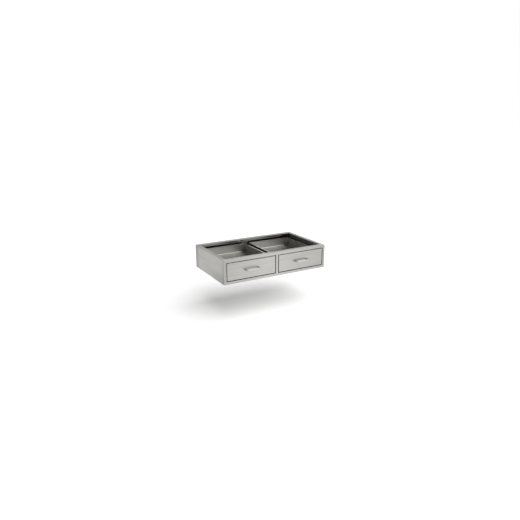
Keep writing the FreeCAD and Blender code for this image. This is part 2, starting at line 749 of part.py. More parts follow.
# Pull: a round wire bent into a shallow bow, with a threaded hole in the end of each leg
def drawer_pull(name, sign):
    body = new_body(f"{name}_drawer_pull")
    path = new_sketch(body, "XY_Plane")
    half = sheet.get("pull_centres") / 2
    bend = sheet.get("pull_bend")
    reach = sheet.get("pull_reach") - sheet.get("pull_wire") / 2
    low = bend - reach
    path.addGeometry(Part.LineSegment(Vector(-half, 0, 0), Vector(-half, low, 0)), False)
    path.addGeometry(Part.ArcOfCircle(Part.Circle(Vector(bend - half, low, 0), Vector(0, 0, 1), bend),
                                      math.pi, 1.5 * math.pi), False)
    path.addGeometry(Part.LineSegment(Vector(bend - half, -reach, 0), Vector(half - bend, -reach, 0)), False)
    path.addGeometry(Part.ArcOfCircle(Part.Circle(Vector(half - bend, low, 0), Vector(0, 0, 1), bend),
                                      1.5 * math.pi, 2 * math.pi), False)
    path.addGeometry(Part.LineSegment(Vector(half, low, 0), Vector(half, 0, 0)), False)
    for item in range(4):
        path.addConstraint(Sketcher.Constraint("Coincident", item, 2, item + 1, 1))
    centre_line = "(pull_reach - pull_wire / 2)"
    leg = "(pull_centres / 2)"
    inward = f"({leg} - pull_bend)"
    fix_point(path, 0, 1, f"0 - {leg}", "0")
    fix_point(path, 0, 2, f"0 - {leg}", f"pull_bend - {centre_line}")
    fix_point(path, 1, 3, f"0 - {inward}", f"pull_bend - {centre_line}")
    fix_point(path, 2, 1, f"0 - {inward}", None)
    fix_point(path, 2, 2, inward, None)
    fix_point(path, 3, 3, inward, f"pull_bend - {centre_line}")
    fix_point(path, 4, 1, leg, f"pull_bend - {centre_line}")
    fix_point(path, 4, 2, leg, "0")
    wire = new_sketch(body, "XZ_Plane")
    add_circle(wire, f"0 - {leg}", "0", "pull_wire / 2")
    doc.recompute()
    bow = body.newObject("PartDesign::AdditivePipe", body.Label + "_bow")
    bow.Profile = wire
    bow.Spine = (path, [f"Edge{k + 1}" for k in range(5)])
    doc.recompute()
    across = [f"{k} * pull_centres / 2" for k in BOTH_SIGNS]
    row_of_holes(body, "XZ_Plane", "0", across, ["0"], SCREW_HOLE, "2 * pull_thread_depth")
    place(body, x=f"{sign} * {FRONT_CENTRE}", z="pull_height")


# Screws from inside the tray: two into the pull and four into the drawer front
def pull_screws(name, sign):
    screws = []
    for k in BOTH_SIGNS:
        spot = (f"{sign} * {FRONT_CENTRE} + {k} * pull_centres / 2",
                "front_thickness + sheet_gauge", "pull_height")
        length = "front_thickness + sheet_gauge + pull_screw_engaged"
        screws.append(screw("pull_screw", spot, Vector(0, -1, 0), length,
                            "screw_head_radius", "screw_head_height"))
    screw_group(f"{name}_drawer_pull_screws", screws)


def front_screws(name, sign):
    screws = []
    for k in BOTH_SIGNS:
        for height in ("front_screw_low", "front_screw_high"):
            spot = (f"{sign} * {FRONT_CENTRE} + {k} * front_screw_spread",
                    "front_thickness + sheet_gauge", height)
            screws.append(screw("front_screw", spot, Vector(0, -1, 0), "front_screw_length",
                                "screw_head_radius", "screw_head_height"))
    screw_group(f"{name}_drawer_front_screws", screws)


# Bumpers: two rubber buttons on the stop lip that the closed drawer front meets
def drawer_bumpers(name, sign):
    buttons = []
    for k in BOTH_SIGNS:
        button = doc.addObject("Part::Cylinder", f"{name}_bumper")
        button.Placement.Rotation = Rotation(Vector(0, 0, 1), Vector(0, -1, 0))
        bind(button, Radius="bumper_radius", Height="bumper_thickness")
        bind(button, Placement__Base__y="frame_return - sheet_gauge",
             Placement__Base__x=f"{sign} * {FRONT_CENTRE} + {k} * ({FRONT_WIDTH} / 2 - bumper_inset)",
             Placement__Base__z="stop_lip - bumper_radius - sheet_gauge")
        buttons.append(button)
    screw_group(f"{name}_drawer_bumpers", buttons)


back_panel()
front_top_rail()
front_bottom_rail()
centre_stile()
bottom_panel()
centre_divider()
rear_centre_plate()
case_slide_screws()
for name, sign in SIDES.items():
    side_panel(name, sign)
    slide_bracket(name, sign, "front", "bracket_front")
    slide_bracket(name, sign, "rear", "bracket_back")
    for end in SLIDE_ENDS:
        slide(name, sign, end)
    for which in ("outer", "inner"):
        slide_balls(name, sign, which)
    drawer_tray(name, sign)
    front_outer_pan(name, sign)
    front_inner_pan(name, sign)
    sound_deadener(name, sign)
    drawer_pull(name, sign)
    pull_screws(name, sign)
    front_screws(name, sign)
    drawer_slide_screws(name, sign)
    drawer_bumpers(name, sign)
doc.recompute()

# Every feature has to be up to date and every piece whole before any file is written
for thing in doc.Objects:
    if "Invalid" in thing.State or "Error" in thing.State:
        raise RuntimeError(f"{thing.Label} failed: {thing.State}")
for node in nodes:
    if node.Shape.isNull() or not node.Shape.isValid() or not node.Shape.Solids:
        raise RuntimeError(f"{node.Label} is not a valid solid")

os.makedirs("parts", exist_ok=True)
for node in nodes:
    node.Shape.exportStep(f"parts/{node.Label}.step")
    box = node.Shape.BoundBox
    print(f"{node.Label}: {len(node.Shape.Solids)} solid, "
          f"{box.XLength:.1f} x {box.YLength:.1f} x {box.ZLength:.1f} mm")
print(len(nodes), "pieces")
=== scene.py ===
# %% [markdown]
# # A knee-space drawer unit, dressed in Blender
# The unit hangs under a worktop: a shallow open case of brushed stainless sheet with two drawers.
# Its shapes are made already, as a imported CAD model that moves. This script loads that model, gives
# every part the finish of the real one, and makes the few pieces whose shape the CAD leaves plain.
# The camera, the light and the floor come first, because they decide how all metal looks.

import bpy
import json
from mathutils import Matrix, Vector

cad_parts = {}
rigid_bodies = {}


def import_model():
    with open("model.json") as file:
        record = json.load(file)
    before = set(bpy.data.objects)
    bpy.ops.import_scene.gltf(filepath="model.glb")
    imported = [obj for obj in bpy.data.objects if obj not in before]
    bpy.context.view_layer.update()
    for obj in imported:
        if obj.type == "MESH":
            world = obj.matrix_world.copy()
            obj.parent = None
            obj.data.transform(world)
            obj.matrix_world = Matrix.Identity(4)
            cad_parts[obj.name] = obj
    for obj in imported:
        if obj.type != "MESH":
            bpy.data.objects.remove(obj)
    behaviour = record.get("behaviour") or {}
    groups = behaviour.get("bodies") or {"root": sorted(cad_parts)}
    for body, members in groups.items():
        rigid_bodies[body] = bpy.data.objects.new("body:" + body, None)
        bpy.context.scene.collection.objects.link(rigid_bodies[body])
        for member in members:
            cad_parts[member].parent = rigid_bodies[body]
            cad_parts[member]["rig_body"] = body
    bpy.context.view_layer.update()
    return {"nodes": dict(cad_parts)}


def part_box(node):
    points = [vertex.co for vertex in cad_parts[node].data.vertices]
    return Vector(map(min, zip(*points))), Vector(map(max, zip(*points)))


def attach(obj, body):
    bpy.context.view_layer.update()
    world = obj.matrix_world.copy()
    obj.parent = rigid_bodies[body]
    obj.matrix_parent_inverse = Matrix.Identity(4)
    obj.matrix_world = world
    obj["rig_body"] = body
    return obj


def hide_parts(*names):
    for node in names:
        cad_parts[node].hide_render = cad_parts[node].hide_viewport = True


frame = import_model()

# %% [markdown]
# ## Colours
# A colour picker shows sRGB numbers, but a renderer adds light, so it works with linear ones. One
# function turns a hex code into linear numbers, and every colour below goes through it.

# %% Hex to linear
import json
import math

import bmesh
import bpy
from mathutils import Matrix, Vector

MM = 0.001
WHITE = "#FFFFFF"


def linear(hex_code):
    """A hex sRGB colour such as #BDBCB8, as linear red, green, blue and full alpha."""
    codes = [int(hex_code[i : i + 2], 16) / 255 for i in (1, 3, 5)]
    curve = [c / 12.92 if c <= 0.04045 else ((c + 0.055) / 1.055) ** 2.4 for c in codes]
    return (*curve, 1.0)


print("#BDBCB8 in linear:", [round(c, 3) for c in linear("#BDBCB8")])

# %% [markdown]
# ## Nodes
# Every finish below is a small graph of nodes. Writing out each node takes four or five lines, so one
# function adds any node: its settings go in as keywords, and its inputs as numbers or as the outputs
# of other nodes, which are then linked. A Mix node holds several sets of sockets with the same names,
# one for each kind of value, so they are called by their places in its list.

# %% One function for any node
FLOAT_A, FLOAT_B, FLOAT_MIX = 2, 3, 0
VECTOR_A, VECTOR_B, VECTOR_MIX = 4, 5, 1
COLOUR_A, COLOUR_B, COLOUR_MIX = 6, 7, 2


def fill(tree, node, inputs):
    """Sets a node's inputs: plain values on the socket itself, outputs of other nodes by a link."""
    for name, value in inputs.items():
        if isinstance(value, bpy.types.NodeSocket):
            tree.links.new(value, node.inputs[name])
        else:
            node.inputs[name].default_value = value


def add(tree, kind, inputs=None, **settings):
    """Adds a shader node, sets its properties, and fills or links its inputs."""
    node = tree.nodes.new("ShaderNode" + kind)
    for name, value in settings.items():
        setattr(node, name, value)
    fill(tree, node, inputs or {})
    return node


print("a Mix node's colours go in at places", COLOUR_A, "and", COLOUR_B, "and out at", COLOUR_MIX)

# %% [markdown]
# ## Camera
# The picture was taken from the front left and from a little above. The angles and the place come
# from the case's own edges: a camera was turned and moved until the edges of a case of this size
# fell on those of the picture. The lens is set for a sensor 36 mm wide.

# %% Camera
CAMERA_PLACE = Vector((-1.53039, -2.64899, 0.97752))
CAMERA_AZIMUTH = math.radians(-29.88)
CAMERA_ELEVATION = math.radians(16.83)
LENS_MM = 32.22
SENSOR_MM = 36

camera_data = bpy.data.cameras.new("camera")
camera_data.sensor_width = SENSOR_MM
camera_data.lens = LENS_MM
camera = bpy.data.objects.new("camera", camera_data)
bpy.context.scene.collection.objects.link(camera)
bpy.context.scene.camera = camera
backwards = Vector(
    (
        math.sin(CAMERA_AZIMUTH) * math.cos(CAMERA_ELEVATION),
        -math.cos(CAMERA_AZIMUTH) * math.cos(CAMERA_ELEVATION),
        math.sin(CAMERA_ELEVATION),
    )
)
camera.location = CAMERA_PLACE
camera.rotation_mode = "QUATERNION"
camera.rotation_quaternion = (-backwards).to_track_quat("-Z", "Y")
bpy.context.scene.view_settings.view_transform = "Standard"
print("camera at", [round(v, 3) for v in camera.location])

# %% [markdown]
# ## Room
# Brushed steel has almost no colour of its own. It shows the room, blurred. The picture's faces tell
# of a white studio: a white floor that curves up into a white wall, a dark ceiling, and a soft box
# on the right in front. The world plays wall, ceiling and soft box here. A reflected ray meets white
# low down and near black high up, and that is what makes the faces pale and the gaps round the
# drawers dark. The soft box draws the bright lines in the bends of the trays. On the left a black
# flag hides most of the wall, which shades every face that looks that way.

# %% What the metal sees
WALL_TOP = math.sin(math.radians(24))
CEILING_EDGE = math.sin(math.radians(50))
WALL_LIGHT = 1.0
CEILING_LIGHT = 0.03
FLAG_LEFT = -0.45
FLAG_RIGHT = 0.05
FLAG_LIGHT = 0.4
BOX_WAY = Vector((0.48, -0.50, 0.72)).normalized()
BOX_EDGE = math.cos(math.radians(38))
BOX_CORE = math.cos(math.radians(16))
BOX_LIGHT = 2.0

world = bpy.data.worlds.new("studio")
bpy.context.scene.world = world
world.use_nodes = True
sky = world.node_tree
sky.nodes.clear()
direction = add(sky, "TexCoord").outputs["Generated"]
parts = add(sky, "SeparateXYZ", {"Vector": direction}).outputs
wall = add(
    sky,
    "MapRange",
    {
        "Value": parts["Z"],
        "From Min": WALL_TOP,
        "From Max": CEILING_EDGE,
        "To Min": WALL_LIGHT,
        "To Max": CEILING_LIGHT,
    },
    interpolation_type="SMOOTHSTEP",
).outputs["Result"]
wall_share = add(
    sky,
    "MapRange",
    {"Value": parts["X"], "From Min": FLAG_LEFT, "From Max": FLAG_RIGHT, "To Min": FLAG_LIGHT},
    interpolation_type="SMOOTHSTEP",
).outputs["Result"]
flagged_wall = add(sky, "Math", {0: wall, 1: wall_share}, operation="MULTIPLY").outputs[0]
towards_box = add(
    sky, "VectorMath", {0: direction, 1: BOX_WAY}, operation="DOT_PRODUCT"
).outputs["Value"]
soft_box = add(
    sky,
    "MapRange",
    {"Value": towards_box, "From Min": BOX_EDGE, "From Max": BOX_CORE, "To Max": BOX_LIGHT},
    interpolation_type="SMOOTHSTEP",
).outputs["Result"]
seen_in_metal = add(
    sky, "Math", {0: flagged_wall, 1: soft_box}, operation="MAXIMUM"
).outputs[0]
print("wall", WALL_LIGHT, "ceiling", CEILING_LIGHT, "soft box", BOX_LIGHT)

# %% [markdown]
# The kind of ray decides which part of the world it meets. A ray from the camera meets plain white,
# which is the picture's background. Diffuse rays get one even level, so that fibre and rubber show
# their own colours.

# %% World
SOFT_LIGHT = 0.19

ray = add(sky, "LightPath").outputs
glossy_part = add(
    sky, "Math", {0: ray["Is Glossy Ray"], 1: seen_in_metal}, operation="MULTIPLY"
).outputs[0]
diffuse_part = add(
    sky, "Math", {0: ray["Is Diffuse Ray"], 1: SOFT_LIGHT}, operation="MULTIPLY"
).outputs[0]
straight_part = add(
    sky, "Math", {0: ray["Is Camera Ray"], 1: ray["Is Transmission Ray"]}, operation="MAXIMUM"
).outputs[0]
strength = add(sky, "Math", {0: glossy_part, 1: diffuse_part}, operation="ADD").outputs[0]
strength = add(sky, "Math", {0: strength, 1: straight_part}, operation="ADD").outputs[0]
background = add(sky, "Background", {"Color": linear(WHITE), "Strength": strength})
add(sky, "OutputWorld", {"Surface": background.outputs[0]})
print("world has", len(sky.nodes), "nodes")

# %% [markdown]
# ## Lamp and floor
# The unit floats above the floor in the picture, as it does under a worktop, and its shadow lies
# below it with a wide soft edge, drawn a little to the left and back. A sun lamp with a very large
# disc, leaning from the right in front, gives such an edge, and it lights the far floor as much as
# the near, so the floor stays even. Steel doesn't mirror the lamp: the soft box in the world stands
# for what it would show.

# %% Lamp
LAMP_WAY = Vector((0.446, -0.476, 1.0))
LAMP_DISC = math.radians(92)
LAMP_STRENGTH = 3.43

lamp_data = bpy.data.lights.new("soft_box", "SUN")
lamp_data.angle = LAMP_DISC
lamp_data.energy = LAMP_STRENGTH
lamp = bpy.data.objects.new("soft_box", lamp_data)
lamp.location = LAMP_WAY
lamp.rotation_mode = "QUATERNION"
lamp.rotation_quaternion = LAMP_WAY.to_track_quat("Z", "Y")
lamp.visible_glossy = False
bpy.context.scene.collection.objects.link(lamp)
print("lamp disc", round(math.degrees(LAMP_DISC)), "degrees")

# %% [markdown]
# The floor is a wide sheet of matt white paper. It adds a little light of its own for the camera and
# for reflections, which lifts it to white while the shadow stays.

# %% Floor
FLOOR_DROP = 0.239
FLOOR_HALF = 60.0
FLOOR_GLOW = 0.18
FLOOR_WHITE = "#F4F4F4"

floor_mesh = bpy.data.meshes.new("floor")
corners = [(-1, -1), (1, -1), (1, 1), (-1, 1)]
floor_mesh.from_pydata(
    [(x * FLOOR_HALF, y * FLOOR_HALF, -FLOOR_DROP) for x, y in corners], [], [(0, 1, 2, 3)]
)
floor = bpy.data.objects.new("floor", floor_mesh)
bpy.context.scene.collection.objects.link(floor)
paper = bpy.data.materials.new("white_paper")
paper.use_nodes = True
tree = paper.node_tree
tree.nodes.clear()
ray = add(tree, "LightPath").outputs
not_diffuse = add(
    tree, "Math", {0: 1.0, 1: ray["Is Diffuse Ray"]}, operation="SUBTRACT"
).outputs[0]
glow = add(tree, "Math", {0: not_diffuse, 1: FLOOR_GLOW}, operation="MULTIPLY").outputs[0]
matt = add(tree, "BsdfDiffuse", {"Color": linear(FLOOR_WHITE)})
light = add(tree, "Emission", {"Color": linear(WHITE), "Strength": glow})
both = add(tree, "AddShader", {0: matt.outputs[0], 1: light.outputs[0]})
add(tree, "OutputMaterial", {"Surface": both.outputs[0]})
floor_mesh.materials.append(paper)
print("floor", FLOOR_DROP, "m below the unit")

# %% [markdown]
# ## Streaks
# Rolled, brushed and drawn metal all carry marks that run one way. They are made here from noise that
# is stretched along that way: a noise cell becomes a streak. Lengths and widths are real millimetres,
# turned into the noise's scale. The picture shows about six millimetres in a pixel, so a real scratch
# of a tenth of a millimetre would vanish, and the streaks are drawn more than ten times as wide.
#
# Blender's noise stays near its middle value. A Map Range node spreads it, and since every finish
# does that, one function writes the node's inputs. Marks that shine more or less than the rest are
# a swing of the roughness, so two small swings, for lines and for wiped clouds, are set here too.

# %% Streaks
AXES = "xyz"
FRONT_FACING = 0.7
NOISE_LOW = 0.3
NOISE_HIGH = 0.7
NOISE_ROUGHNESS = 0.55
LINE_SWING = 0.05
CLOUD_SWING = 0.03


def along_axis(axis, length, width):
    """Numbers of noise cells per metre, fewer along the grain and more across it."""
    cells = [1 / width] * 3
    cells[AXES.index(axis)] = 1 / length
    return cells


def faces_front(tree):
    """One on a face that looks to the front or the back, nought on any other."""
    normal = add(tree, "NewGeometry").outputs["Normal"]
    facing = add(tree, "SeparateXYZ", {"Vector": normal}).outputs["Y"]
    facing = add(tree, "Math", {0: facing}, operation="ABSOLUTE").outputs[0]
    return add(tree, "Math", {0: facing, 1: FRONT_FACING}, operation="GREATER_THAN").outputs[0]


def noise(tree, cells, detail=3.0, face_cells=None):
    """Noise with that many cells a metre, which takes face_cells on faces to the front and back."""
    where = add(tree, "TexCoord").outputs["Object"]
    scale = cells
    if face_cells:
        choice = {"Factor": faces_front(tree), VECTOR_A: cells, VECTOR_B: face_cells}
        scale = add(tree, "Mix", choice, data_type="VECTOR").outputs[VECTOR_MIX]
    place = add(tree, "Mapping", {"Vector": where, "Scale": scale}).outputs[0]
    pattern = {"Vector": place, "Scale": 1.0, "Detail": detail, "Roughness": NOISE_ROUGHNESS}
    return add(tree, "TexNoise", pattern).outputs["Fac"]


def span(value, low, high, start=NOISE_LOW, end=NOISE_HIGH):
    """Inputs that make a Map Range node go from low to high while the value goes from start to end."""
    return {"Value": value, "From Min": start, "From Max": end, "To Min": low, "To Max": high}


print("a streak 90 mm by 2 mm has cells", [round(c) for c in along_axis("x", 90 * MM, 2 * MM)])

# %% [markdown]
# ## Painted shade in the crevices
# Light hardly gets into gaps, reveals and corners, and that shade is painted into the colour here. An
# Ambient Occlusion node finds such places: it says how open a point is. What isn't open is mixed
# towards near black. Three slopes say how much openness leaves a place unshaded: a sharp one for gaps
# between outer faces, a soft one for trays and pulls, and one that leaves hidden parts dark.

# %% Crevices
CREVICE = 24 * MM
CREVICE_TONE = "#14140F"
CREVICE_SAMPLES = 8
SHARP = (0.25, 0.85)
SOFT = (0.05, 0.7)
HIDDEN = (0.5, 0.95)


def crevices(tree, colour, slope=SHARP, reach=CREVICE):
    """The colour, with painted shade where another surface is near: gaps, reveals, corners."""
    openness = add(
        tree, "AmbientOcclusion", {"Distance": reach}, samples=CREVICE_SAMPLES
    ).outputs["AO"]
    clean = add(tree, "MapRange", span(openness, 0, 1, *slope)).outputs["Result"]
    choice = {"Factor": clean, COLOUR_A: linear(CREVICE_TONE), COLOUR_B: colour}
    return add(tree, "Mix", choice, data_type="RGBA").outputs[COLOUR_MIX]


def new_material(name):
    """An empty material, its tree, and the shader that its finish is given to."""
    material = bpy.data.materials.new(name)
    material.use_nodes = True
    tree = material.node_tree
    tree.nodes.clear()
    shader = add(tree, "BsdfPrincipled")
    add(tree, "OutputMaterial", {"Surface": shader.outputs[0]})
    return material, tree, shader


print("crevices reach", round(CREVICE / MM), "mm")

# %% [markdown]
# ## Painted edge highlights
# The rounded edges and bends of sheet catch light, and that highlight is painted into the colour. A
# Bevel node turns the normal near an edge, and where it disagrees with the face's own normal, the
# steel is paler. It only looks like a rounded edge: the mesh stays as it is.

# %% Painted edge highlights
EDGE_WIDTH = 1.6 * MM
EDGE_SAMPLES = 6
EDGE_POLISH = "#DAD9D5"
EDGE_START = 0.9
EDGE_END = 0.99


def polished_edges(tree, colour):
    """The colour, with a painted highlight where the surface turns within the width of a bend."""
    rounded = add(tree, "Bevel", {"Radius": EDGE_WIDTH}, samples=EDGE_SAMPLES).outputs[0]
    flat = add(tree, "NewGeometry").outputs["Normal"]
    agreement = add(
        tree, "VectorMath", {0: rounded, 1: flat}, operation="DOT_PRODUCT"
    ).outputs["Value"]
    edge = add(tree, "MapRange", span(agreement, 1, 0, EDGE_START, EDGE_END)).outputs["Result"]
    choice = {"Factor": edge, COLOUR_A: colour, COLOUR_B: linear(EDGE_POLISH)}
    return add(tree, "Mix", choice, data_type="RGBA").outputs[COLOUR_MIX]


# The painted edge highlight is this wide.
print("edges are polished over", round(EDGE_WIDTH / MM, 1), "mm")

# %% [markdown]
# ## Painted shade towards ends and corners
# A long face is painted dimmer towards its ends, and each side sheet darker in two opposite corners,
# the low front one and the high back one. Both are painted shade, drawn as a level from the place on
# the sheet, which dims the colour. A light or a camera trick would fail from another side.

# %% Painted shade at ends and corners
CASE_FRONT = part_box("front_top_rail")[0][1]


def towards_ends(tree, colour, axis, near, far, dim):
    """Painted shade towards both ends: of X on the front faces, of Y on the other faces."""
    where = add(tree, "TexCoord").outputs["Object"]
    along = add(tree, "SeparateXYZ", {"Vector": where}).outputs[axis]
    along = add(tree, "Math", {0: along}, operation="ABSOLUTE").outputs[0]
    level = add(tree, "MapRange", span(along, 1.0, dim, near, far)).outputs["Result"]
    on_front, elsewhere = (level, 1.0) if axis == "X" else (1.0, level)
    choice = {"Factor": faces_front(tree), FLOAT_A: elsewhere, FLOAT_B: on_front}
    level = add(tree, "Mix", choice).outputs[FLOAT_MIX]
    return add(
        tree, "VectorMath", {0: colour, "Scale": level}, operation="SCALE"
    ).outputs["Vector"]


def bowed(tree, colour, crossing, corner_level):
    """Painted shade in two opposite corners of a side sheet: the low front and the high back one."""
    where = add(tree, "TexCoord").outputs["Object"]
    away = add(tree, "VectorMath", {0: where, 1: crossing}, operation="SUBTRACT").outputs[0]
    away = add(tree, "SeparateXYZ", {"Vector": away}).outputs
    product = add(tree, "Math", {0: away["Y"], 1: away["Z"]}, operation="MULTIPLY").outputs[0]
    corner_product = (crossing.y - CASE_FRONT) * crossing.z
    level = add(
        tree, "MapRange", span(product, 1.0, corner_level, 0.0, corner_product)
    ).outputs["Result"]
    choice = {"Factor": faces_front(tree), FLOAT_A: level, FLOAT_B: 1.0}
    level = add(tree, "Mix", choice).outputs[FLOAT_MIX]
    return add(
        tree, "VectorMath", {0: colour, "Scale": level}, operation="SCALE"
    ).outputs["Vector"]


print("the case's front stands at y =", round(CASE_FRONT, 5))

# %% [markdown]
# ## Inner faces
# Only the outside of the case is ground. Inside, the sheet keeps the skin of the mill. One mesh has
# both, so the finish asks each point which way it looks: where the normal points back to the middle
# of the unit, the face is an inner one.


# %% Inner faces
def looks_inward(tree):
    """One on a face that looks to the middle of the unit, nought on one that looks away from it."""
    where = add(tree, "TexCoord").outputs["Object"]
    normal = add(tree, "NewGeometry").outputs["Normal"]
    outward = add(
        tree, "VectorMath", {0: where, 1: normal}, operation="DOT_PRODUCT"
    ).outputs["Value"]
    return add(tree, "Math", {0: outward, 1: 0.0}, operation="LESS_THAN").outputs[0]


def inner_skin(tree, colour, rough, cloud, tone, inner_rough, reach):
    """The colour, roughness and reach of the painted crevice shade, changed where a face looks inward.
    """
    inward = looks_inward(tree)
    choice = {"Factor": inward, COLOUR_A: colour, COLOUR_B: linear(tone)}
    colour = add(tree, "Mix", choice, data_type="RGBA").outputs[COLOUR_MIX]
    clouded = span(cloud, inner_rough - CLOUD_SWING, inner_rough + CLOUD_SWING)
    smooth = add(tree, "MapRange", clouded).outputs["Result"]
    rough = add(tree, "Mix", {"Factor": inward, FLOAT_A: rough, FLOAT_B: smooth}).outputs[FLOAT_MIX]
    choice = {"Factor": inward, FLOAT_A: CREVICE, FLOAT_B: reach}
    return colour, rough, add(tree, "Mix", choice).outputs[FLOAT_MIX]


print("a face is an inner one where its place and its normal have a product below nought")

# %% [markdown]
# ## Brushed stainless sheet
# The case and the drawer fronts are 304 stainless, ground with a belt of about 150 grit and known as
# number 4 finish. The eye sees a soft pale grey, streaks along the belt's way, and reflections that
# are smeared across them. The streaks vary the roughness and the height a little. Broader bands vary
# the grey, as a belt does when it wears, and faint clouds are what wiping leaves. A metal's colour is
# its reflection, so the grey is written as the shader's base colour, and the smear is its anisotropy.
#
# The smear needs a direction, the tangent, which lies along the grain. It leans a little off the
# axis, because on a face that looks straight along the grain it would have no direction at all.

# %% Brushed sheet
STREAK = (90 * MM, 1.6 * MM)
BAND = (420 * MM, 16 * MM)
CLOUD = (160 * MM, 90 * MM)
BAND_SHARE = 0.6
STREAK_SHARE = 0.4
STREAK_DEPTH = 0.02 * MM
SMEAR = 0.45
LEAN = 0.03


def brushed_sheet(name, tones, roughness, grain, fold_grain=None, ends=None, bow=None, inner=None):
    """Sheet steel ground along one axis, and along another one on its folded front faces."""
    material, tree, shader = new_material(name)
    sizes = (STREAK, BAND, CLOUD)
    cells = [along_axis(grain, *size) for size in sizes]
    on_folds = [fold_grain and along_axis(fold_grain, *size) for size in sizes]
    streak, band, cloud = [noise(tree, a, face_cells=b) for a, b in zip(cells, on_folds)]
    pale, deep = tones
    broad = add(tree, "MapRange", span(band, 0, BAND_SHARE)).outputs["Result"]
    fine = add(tree, "MapRange", span(streak, 0, STREAK_SHARE)).outputs["Result"]
    tone = add(tree, "Math", {0: broad, 1: fine}).outputs[0]
    choice = {"Factor": tone, COLOUR_A: linear(deep), COLOUR_B: linear(pale)}
    colour = add(tree, "Mix", choice, data_type="RGBA").outputs[COLOUR_MIX]
    if ends:
        colour = towards_ends(tree, colour, *ends)
    if bow:
        colour = bowed(tree, colour, *bow)
    lines = span(streak, roughness - LINE_SWING, roughness + LINE_SWING)
    lines = add(tree, "MapRange", lines).outputs["Result"]
    wiped = add(tree, "MapRange", span(cloud, -CLOUD_SWING, CLOUD_SWING)).outputs["Result"]
    rough = add(tree, "Math", {0: lines, 1: wiped}).outputs[0]
    reach = CREVICE
    if inner:
        colour, rough, reach = inner_skin(tree, colour, rough, cloud, *inner)
    relief = add(tree, "Bump", {"Height": streak, "Distance": STREAK_DEPTH, "Strength": 1.0})
    way = [1.0 if axis == grain else LEAN for axis in AXES]
    tangent = add(tree, "CombineXYZ", dict(zip("XYZ", way)))
    finish = {
        "Base Color": crevices(tree, polished_edges(tree, colour), SHARP, reach),
        "Metallic": 1.0,
        "Roughness": rough,
        "Normal": relief.outputs[0],
        "Anisotropic": SMEAR,
        "Tangent": tangent.outputs[0],
    }
    fill(tree, shader, finish)
    return material


print("streaks", [round(v / MM, 1) for v in STREAK], "mm, bands", [round(v / MM) for v in BAND], "mm")

# %% [markdown]
# Five versions differ in tone, in the way of the belt, and in what is seen of their inner faces. The
# side panels are ground along the depth while they are flat. Their fronts are then folded into the
# end stiles, and the fold turns the lines with the sheet, so on those stiles they run across.
#
# An inner skin is given as its tone, its roughness and the reach of its painted crevice shade. The
# painted shade towards the ends is an axis, the two distances from the middle between which the steel
# gets dimmer, and the level that is left. The painted corner shade is the point about which it turns,
# and the level left in its two dim corners.

# %% Brushed finishes
CASE_ROUGH = 0.34
BACK_ROUGH = 0.36
FRONT_ROUGH = 0.33
SIDE_TONES = ("#B1B0AC", "#9B9A96")
# The side tones are darker than the rail tones: partly the sheets' own tone, partly painted shade.
BACK_TONES = ("#A9A8A4", "#999894")
RAIL_TONES = ("#C2C1BD", "#AFAEAA")
FRONT_TONES = ("#C3C2BE", "#B1B0AC")
SIDE_INNER = ("#B2B1AC", 0.55, 13 * MM)
BACK_INNER = ("#B2B1AC", 0.17, CREVICE)
# Painted shade: dimmer ends of long faces and of the folded sides, and two dim corners of the sides.
LONG_ENDS = ("X", 60 * MM, 381 * MM, 0.84)
FOLD_ENDS = ("Y", 170 * MM, 215 * MM, 0.72)
SIDE_BOW = (Vector((0, 62 * MM, 85 * MM)), 0.66)

case_finishes = {
    "side": brushed_sheet(
        "brushed_side_sheet",
        SIDE_TONES,
        CASE_ROUGH,
        grain="y",
        fold_grain="x",
        ends=FOLD_ENDS,
        bow=SIDE_BOW,
        inner=SIDE_INNER,
    ),
    "back": brushed_sheet("brushed_back_sheet", BACK_TONES, BACK_ROUGH, "x", inner=BACK_INNER),
    "rail": brushed_sheet("brushed_rail_sheet", RAIL_TONES, CASE_ROUGH, "x", ends=LONG_ENDS),
    "stile": brushed_sheet("brushed_stile_sheet", RAIL_TONES, CASE_ROUGH, "z"),
    "front": brushed_sheet("brushed_drawer_front", FRONT_TONES, FRONT_ROUGH, "x", ends=LONG_ENDS),
}
print("brushed finishes:", sorted(case_finishes))

# %% [markdown]
# ## Mill sheet
# The trays and the parts inside the case are the same steel as it leaves the mill, cold rolled and
# pickled, known as 2B. Nobody grinds what stays hidden. It is greyer and more even than the brushed
# sheet, with broad weak rolling lines and the faint clouds that pickling leaves. The parts hidden in
# the case take darker tones as painted shade, and the trays and the rear plate, in view, take paler
# ones as painted light. A tray's rim carries a painted highlight: its top few millimetres take a
# paler tone, told from their height.

# %% Mill sheet
# Lit and shaded copies of one mill steel: dark tones as painted shade, pale ones as painted light.
MILL_TONES = ("#B2B1AC", "#A09F9A")
CLEAN_TONES = ("#CBCAC6", "#BCBBB7")
RIM_TONE = "#D6D5D1"
HIDDEN_ROUGH = 0.36
CLEAN_ROUGH = 0.4
RIM_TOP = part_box("left_drawer_tray")[1][2]
RIM = (RIM_TOP - 3 * MM, RIM_TOP - 0.5 * MM)
MILL_LINE = (260 * MM, 3 * MM)
MILL_CLOUD = (70 * MM, 45 * MM)
CLOUD_SHARE = 0.7
LINE_SHARE = 0.3
LINE_DEPTH = 0.01 * MM


